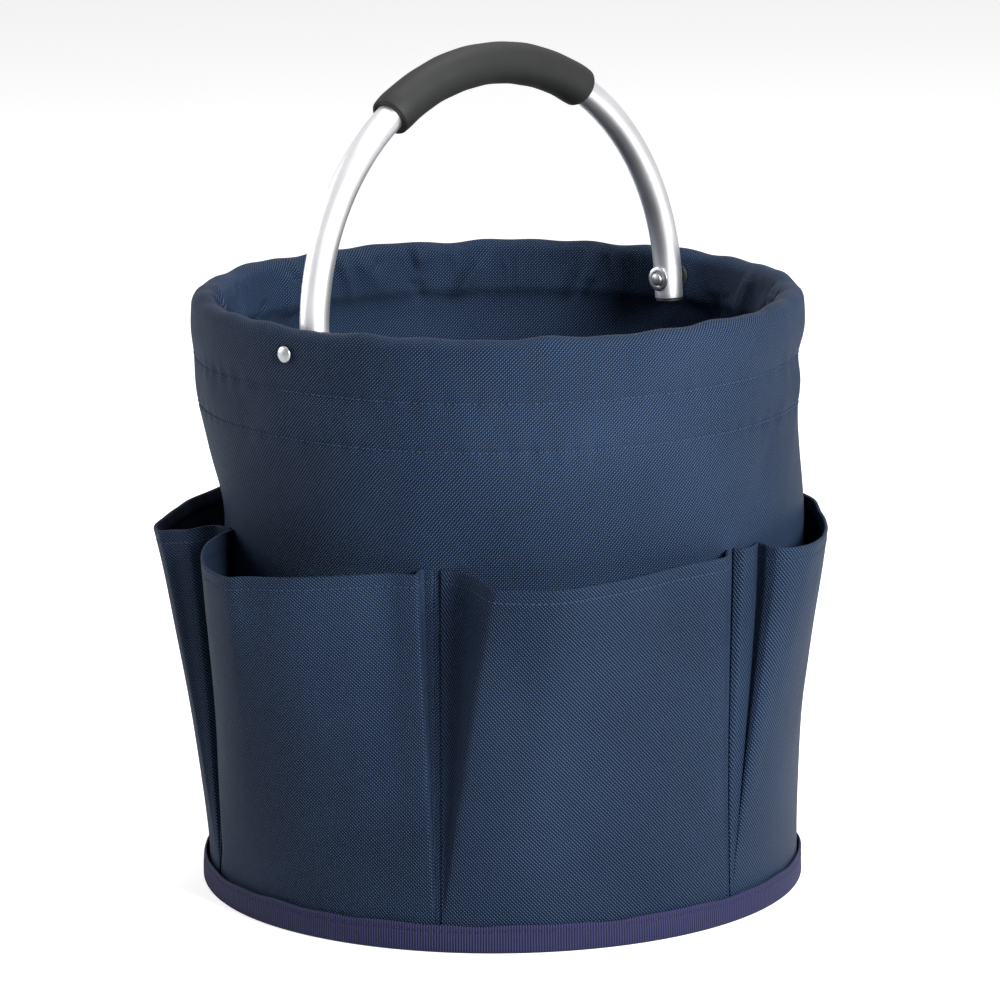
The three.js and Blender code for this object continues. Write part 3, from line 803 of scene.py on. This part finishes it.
def coated_twill(name, dark, middle, light, pitch=0.00135, lean=0.9, rough=0.46, sheen=0.005):
    """Navy polyester with a thin coating. The eye sees short bright dashes on a slant, a lighter
    grazing edge, and slow cloudy changes of tone. The bright dashes are painted highlight: the
    weave's raised crossings are coloured lighter, as if their crowns caught the light, and its
    hollows are coloured darker as painted shade. The slow clouds are tone that differs at random.
    The real weave is about 0.6 mm; it is drawn
    twice as coarse so that it still reads at arm's length."""
    made, tree, shader = material(name, {"Roughness": rough, "Sheen Weight": sheen, "Sheen Roughness": 0.45,
                                         "Specular IOR Level": 0.06})
    shader.inputs["Specular Tint"].default_value = srgb("#8fa6d2")
    shader.inputs["Sheen Tint"].default_value = srgb("#8fa3c4")
    uv = node(tree, "ShaderNodeUVMap", {"uv_map": "cloth"}).outputs[0]
    place = node(tree, "ShaderNodeTexCoord").outputs["Object"]
    height = weave_height(tree, uv, pitch, lean)
    uneven = noise(tree, uv, 260.0, 3.0, 0.7)
    broken = maths(tree, "MULTIPLY", height, maths(tree, "ADD", maths(tree, "MULTIPLY", uneven, 1.5), 0.2))
    cloud = noise(tree, place, 7.0, 3.0, 0.55)
    # painted highlight and shade: the weave's raised crossings are coloured lighter and its hollows darker,
    # on top of the random cloudy tone
    tone = maths(tree, "ADD", maths(tree, "MULTIPLY", broken, 0.6), maths(tree, "MULTIPLY", cloud, 0.8))
    colour = ramp(tree, tone, [(0.05, srgb(dark)), (0.55, srgb(middle)), (1.0, srgb(light))])
    tree.links.new(colour, shader.inputs["Base Color"])
    bumps = node(tree, "ShaderNodeBump", {"Strength": 0.6, "Distance": 0.00025}, {"Height": broken})
    slow = node(tree, "ShaderNodeBump", {"Strength": 0.30, "Distance": 0.0012},
                {"Height": noise(tree, place, 60.0, 3.0, 0.55), "Normal": bumps.outputs[0]})
    tree.links.new(slow.outputs[0], shader.inputs["Normal"])
    return made


def ribbed_tape(name, dark, light):
    """Woven edging tape. The eye sees fine upright ribs crossed by a coarser slanting grain, in a
    navy that leans to violet. Ribs are drawn 1.4 mm apart, about twice the real spacing."""
    made, tree, shader = material(name, {"Roughness": 0.62, "Sheen Weight": 0.06, "Sheen Roughness": 0.4,
                                         "Specular IOR Level": 0.12})
    shader.inputs["Sheen Tint"].default_value = srgb("#9a92c8")
    uv = node(tree, "ShaderNodeUVMap", {"uv_map": "cloth"}).outputs[0]
    split = node(tree, "ShaderNodeSeparateXYZ", links={0: uv})
    ribs = maths(tree, "SINE", maths(tree, "MULTIPLY", split.outputs[0], 2 * math.pi / 0.0014))
    weft = maths(tree, "SINE", maths(tree, "MULTIPLY", split.outputs[1], 2 * math.pi / 0.0011))
    crossed = maths(tree, "ADD", ribs, maths(tree, "MULTIPLY", maths(tree, "MULTIPLY", ribs, weft), 0.7))
    uneven = noise(tree, uv, 330.0, 2.0, 0.7)
    height = maths(tree, "MULTIPLY", crossed, maths(tree, "ADD", uneven, 0.3))
    tone = maths(tree, "ADD", maths(tree, "MULTIPLY", height, 0.5), 0.45)
    tree.links.new(ramp(tree, tone, [(0.1, srgb(dark)), (0.9, srgb(light))]), shader.inputs["Base Color"])
    bumps = node(tree, "ShaderNodeBump", {"Strength": 0.6, "Distance": 0.00025}, {"Height": height})
    tree.links.new(bumps.outputs[0], shader.inputs["Normal"])
    return made


def sewing_thread(name, code_dark, code_light):
    """Polyester thread: slightly lighter than the cloth, a soft gloss, a twist along its length."""
    made, tree, shader = material(name, {"Roughness": 0.6, "Specular IOR Level": 0.15})
    place = node(tree, "ShaderNodeTexCoord").outputs["Object"]
    twist = noise(tree, place, 1400.0, 1.0)
    tree.links.new(ramp(tree, twist, [(0.3, srgb(code_dark)), (0.7, srgb(code_light))]),
                   shader.inputs["Base Color"])
    return made


def satin_aluminium(name):
    """Anodised tube. The eye sees a pale matt metal with long soft streaks along the tube and a
    slightly uneven dullness."""
    made, tree, shader = material(name, {"Metallic": 1.0})
    uv = node(tree, "ShaderNodeUVMap", {"uv_map": "cloth"}).outputs[0]
    drawn = node(tree, "ShaderNodeMapping", {"Scale": (2600.0, 26.0, 1.0)}, {"Vector": uv}).outputs[0]
    streak = noise(tree, drawn, 1.0, 3.0, 0.6)
    place = node(tree, "ShaderNodeTexCoord").outputs["Object"]
    cloud = noise(tree, place, 40.0, 2.0)
    tree.links.new(ramp(tree, streak, [(0.3, srgb("#e0e1e4")), (0.7, srgb("#eeeef0"))]),
                   shader.inputs["Base Color"])
    dull = maths(tree, "ADD", maths(tree, "MULTIPLY", streak, 0.10), maths(tree, "MULTIPLY", cloud, 0.12))
    tree.links.new(maths(tree, "ADD", dull, 0.32), shader.inputs["Roughness"])
    bumps = node(tree, "ShaderNodeBump", {"Strength": 0.08, "Distance": 0.00005}, {"Height": streak})
    tree.links.new(bumps.outputs[0], shader.inputs["Normal"])
    return made


def plated_steel(name, code_dark, code_light, roughness):
    """Bright plated metal with a faint cloudiness, for the rivets and their washers."""
    made, tree, shader = material(name, {"Metallic": 1.0})
    place = node(tree, "ShaderNodeTexCoord").outputs["Object"]
    cloud = noise(tree, place, 300.0, 3.0, 0.6)
    tree.links.new(ramp(tree, cloud, [(0.3, srgb(code_dark)), (0.7, srgb(code_light))]),
                   shader.inputs["Base Color"])
    tree.links.new(maths(tree, "MULTIPLY_ADD", cloud, 0.16, roughness), shader.inputs["Roughness"])
    return made


def fine_plastic(name, dark, light, roughness, grain, depth):
    """Moulded or foamed plastic: a nearly even colour, with a fine grain whose size is given as
    noise cells per metre and whose depth is in metres."""
    made, tree, shader = material(name, {"Specular IOR Level": 0.4})
    place = node(tree, "ShaderNodeTexCoord").outputs["Object"]
    fine = noise(tree, place, grain, 3.0, 0.65)
    tree.links.new(ramp(tree, fine, [(0.3, srgb(dark)), (0.7, srgb(light))]), shader.inputs["Base Color"])
    tree.links.new(maths(tree, "MULTIPLY_ADD", fine, 0.18, roughness), shader.inputs["Roughness"])
    bumps = node(tree, "ShaderNodeBump", {"Strength": 0.5, "Distance": depth}, {"Height": fine})
    tree.links.new(bumps.outputs[0], shader.inputs["Normal"])
    return made


# the darker and lighter ends of each twill's colours carry the weave's painted shade and painted highlight,
# as well as its random tone
navy = coated_twill("navy_twill", "#0c131d", "#1c293c", "#3e4e68")
navy_wall = coated_twill("navy_wall_twill", "#0c131d", "#1d2a3e", "#40516c", lean=-0.8)
navy_inside = coated_twill("navy_lining_twill", "#111a27", "#232f45", "#465570", pitch=0.0015, lean=0.9)
tape = ribbed_tape("violet_navy_tape", "#0f1024", "#34355a")
thread = sewing_thread("navy_thread", "#1e2a3f", "#34435e")
tape_thread = sewing_thread("tape_thread", "#1a1a30", "#302f4c")
aluminium = satin_aluminium("satin_aluminium")
plating = plated_steel("plated_steel", "#a9acae", "#c0c3c5", 0.3)
hoop_wire = plated_steel("hoop_wire", "#8d9093", "#a5a8aa", 0.3)
foam = fine_plastic("grip_foam", "#070808", "#0e0f10", 0.55, 1500.0, 0.00012)
black = fine_plastic("black_plastic", "#141517", "#1b1c1f", 0.42, 900.0, 0.00004)
board = fine_plastic("grey_board", "#4b4d50", "#595b5f", 0.5, 500.0, 0.0001)
white_foam = fine_plastic("white_foam_sheet", "#cfcfc9", "#dcdcd6", 0.7, 1100.0, 0.0002)


def finish_piece(piece, look, body, slot, *nodes):
    """Gives a piece its material and its body, and hides the frame parts it stands for. slot is not used.
    """
    piece.data.materials.clear()
    piece.data.materials.append(look)
    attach(piece, body)
    if nodes:
        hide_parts(*nodes)
    return piece


# ---- the bucket ----
wall = finish_piece(wall_cloth(), navy_wall, "bucket", "navy_twill", "outer_wall")
lining = finish_piece(
    wall_layer("lining_cloth", LINING_DEPTH, LINING_THICKNESS, LAYER_FOOT, HEM_END - 1.5, LINING_SLACK),
    navy_inside, "bucket", "navy_twill", "inner_lining")
stiffener = finish_piece(wall_layer("foam_core", FOAM_DEPTH, FOAM_THICKNESS, LAYER_FOOT, FOAM_TOP, 0.0),
                         white_foam, "bucket", "foam_sheet", "wall_stiffener")

round_the_wall = np.linspace(0, 360, 2 * WALL_COLUMNS + 1)
for label, height in (("rim_seam_thread", UPPER_SEAM), ("hem_seam_thread", LOWER_SEAM)):
    level = np.full(len(round_the_wall), height)
    line = wall_point(round_the_wall, level)
    facing = wall_point(round_the_wall, level, -5.0) - line
    row = stitch_along(label, line + facing * 0.03, facing, pitch=3.4)
    finish_piece(row, thread, "bucket", "navy_twill")

for seed, label in enumerate(POCKETS):
    panel, hem_row = pocket(label, 31 + seed)
    finish_piece(panel, navy, "bucket", "navy_twill", label)
    finish_piece(hem_row, thread, "bucket", "navy_twill")

tape_ring, tape_row = binding()
finish_piece(tape_ring, tape, "bucket", "binding_tape", "base_binding")
finish_piece(tape_row, tape_thread, "bucket", "binding_tape")

under_panel = finish_piece(floor_panel("under_panel", BASE_RADIUS, 0.0, CLOTH, 0.0), navy, "bucket",
                           "navy_twill", "base_panel_outer")
inner_panel = finish_piece(floor_panel("floor_cloth", FLOOR_RADIUS, FLOOR_FOOT, FLOOR_TOP, 0.3),
                           navy_inside, "bucket", "navy_twill", "base_panel_inner")

for label, side in (("rivet_left", -1), ("rivet_right", 1)):
    finish_piece(rivet(label + "_domed", side), plating, "bucket", "rivet_metal", label)
for label, side in (("left", -1), ("right", 1)):
    finish_piece(washer("spacer_" + label, side, SPACER_FACE), black, "bucket", "black_plastic",
                 "spacer_washer_" + label)
    finish_piece(washer("tail_disc_" + label, side, TAIL_FACE), plating, "bucket", "rivet_metal",
                 "tail_washer_" + label)
for label, look in (("rim_hoop", hoop_wire), ("hoop_joiner", black), ("base_board", board)):
    frame["nodes"][label].data.materials.clear()
    frame["nodes"][label].data.materials.append(look)

# ---- the handle ----
finish_piece(handle_tube(), aluminium, "handle", "satin_aluminium", "handle_tube")
finish_piece(handle_grip(), foam, "handle", "grip_foam", "handle_grip")
for label, side in (("left", -1), ("right", 1)):
    finish_piece(tube_plug("tube_end_" + label, side), black, "handle", "black_plastic",
                 "tube_plug_" + label)

# ---- floor and light ----
def paper(name, code, roughness, glow):
    """A pale floor that glows a little to the camera, so that it stays white a long way back
    without throwing more light at the caddy."""
    made, tree, shader = material(name, {"Base Color": srgb(code), "Roughness": roughness,
                                         "Emission Color": srgb(code)})
    seen = node(tree, "ShaderNodeLightPath").outputs["Is Camera Ray"]
    tree.links.new(maths(tree, "MULTIPLY", seen, glow), shader.inputs["Emission Strength"])
    return made


bpy.ops.mesh.primitive_plane_add(size=14)
ground = bpy.context.active_object
ground.name = "pale_floor"
ground.data.materials.append(paper("pale_floor", "#e4e4e4", 0.9, 0.9))


def soft_box(name, where, aim, size, power):
    """A square soft light at a place, turned to face a point. Distances in metres."""
    lamp = bpy.data.lights.new(name, "AREA")
    lamp.shape = "SQUARE"
    lamp.size = size
    lamp.energy = power
    made = bpy.data.objects.new(name, lamp)
    made.location = where
    made.rotation_euler = (Vector(aim) - Vector(where)).to_track_quat("-Z", "Y").to_euler()
    bpy.context.scene.collection.objects.link(made)


# ---- viewpoint, which the lights are placed from too ----
AZIMUTH = math.radians(-47.8866)
TILT = math.radians(11.9075)
ROLL = math.radians(-0.5363)
DISTANCE = 2.95269
LENS = 201.49                          # mm, on a 36 mm frame
RIGHT = Vector((math.cos(AZIMUTH), math.sin(AZIMUTH), 0))
NEAR = Vector((math.sin(AZIMUTH), -math.cos(AZIMUTH), 0))     # level, from the caddy to the camera


def studio(right, near, up):
    """A place in the studio from distances to the viewer's right, towards the viewer and up."""
    return RIGHT * right + NEAR * near + Vector((0, 0, up))


middle = (0, 0, 0.22)
soft_box("key_light", studio(1.5, 1.8, 1.2), middle, 0.9, 126)
soft_box("edge_light", studio(-2.1, -0.5, 0.9), middle, 1.2, 27)
soft_box("top_light", studio(0.4, -0.5, 2.5), middle, 1.6, 40)

world = bpy.data.worlds.new("studio_white")
world.use_nodes = True
surround = world.node_tree.nodes["Background"]
surround.inputs["Color"].default_value = (1, 1, 1, 1)
# the white room shows fully behind the caddy and dimmer in reflections, but fills the shadows
# only a little
rays = node(world.node_tree, "ShaderNodeLightPath")
fill = maths(world.node_tree, "MULTIPLY_ADD", rays.outputs["Is Diffuse Ray"], -0.94, 1.02)
room = maths(world.node_tree, "MULTIPLY_ADD", rays.outputs["Is Glossy Ray"], -0.36, fill)
world.node_tree.links.new(room, surround.inputs["Strength"])
scene = bpy.context.scene
scene.world = world
scene.view_settings.view_transform = "Standard"

# ---- camera ----
target = RIGHT * 0.000366 + Vector((0, 0, 0.20207))
back = NEAR * math.cos(TILT) + Vector((0, 0, math.sin(TILT)))
above = back.cross(RIGHT)
axis_x = RIGHT * math.cos(ROLL) + above * math.sin(ROLL)
axis_y = above * math.cos(ROLL) - RIGHT * math.sin(ROLL)
lens = bpy.data.cameras.new("camera")
lens.lens = LENS
lens.sensor_width = 36
camera = bpy.data.objects.new("camera", lens)
camera.matrix_world = Matrix((axis_x, axis_y, back)).transposed().to_4x4()
camera.location = target + back * DISTANCE
scene.collection.objects.link(camera)
scene.camera = camera
